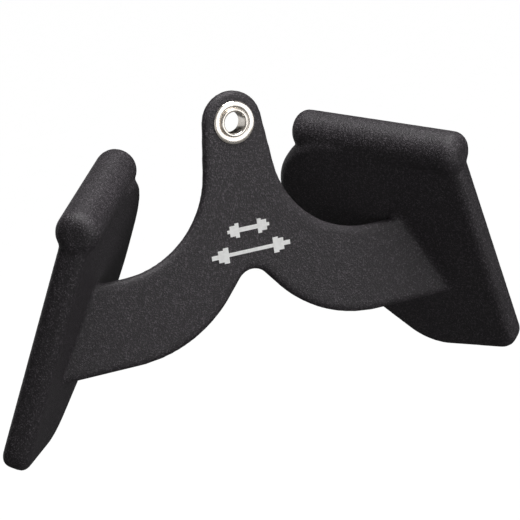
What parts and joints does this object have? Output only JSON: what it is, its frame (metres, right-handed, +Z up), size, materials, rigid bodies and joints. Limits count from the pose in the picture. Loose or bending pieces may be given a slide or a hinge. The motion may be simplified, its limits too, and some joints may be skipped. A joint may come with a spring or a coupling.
{
  "type": "t bar row handle",
  "caption": "Rubber-coated steel row handle: a hanging eyelet plate whose arms carry toed-in, leaning palm paddles, each with a finger roll along its top.",
  "frame": {"origin": "centre of the eyelet bore, on the middle plane of the centre plate", "axes": "+X to the right along the arms, +Y to the back through the eyelet bore, +Z up; the printed face looks along -Y"},
  "size_m": [0.4012, 0.1511, 0.2276],
  "materials": {
    "rubber": "fine-grained matte charcoal",
    "steel": "bare cut plate and tube",
    "weld": "rippled weld bead",
    "chrome": "polished plating",
    "ink": "white screen print"
  },
  "bodies": {
    "root": {"rubber_coat": "rubber", "centre_plate": "steel", "right_palm_plate": "steel", "right_roll_tube": "steel", "right_tube_plug_front": "steel", "right_tube_plug_back": "steel", "right_arm_weld_front": "weld", "right_arm_weld_back": "weld", "right_roll_weld_palm_side": "weld", "right_roll_weld_finger_side": "weld", "left_palm_plate": "steel", "left_roll_tube": "steel", "left_tube_plug_front": "steel", "left_tube_plug_back": "steel", "left_arm_weld_front": "weld", "left_arm_weld_back": "weld", "left_roll_weld_palm_side": "weld", "left_roll_weld_finger_side": "weld", "eyelet_barrel": "chrome", "eyelet_washer_front": "chrome", "eyelet_washer_back": "chrome", "print_dumbbell": "ink", "print_barbell": "ink"}
  },
  "joints": []
}
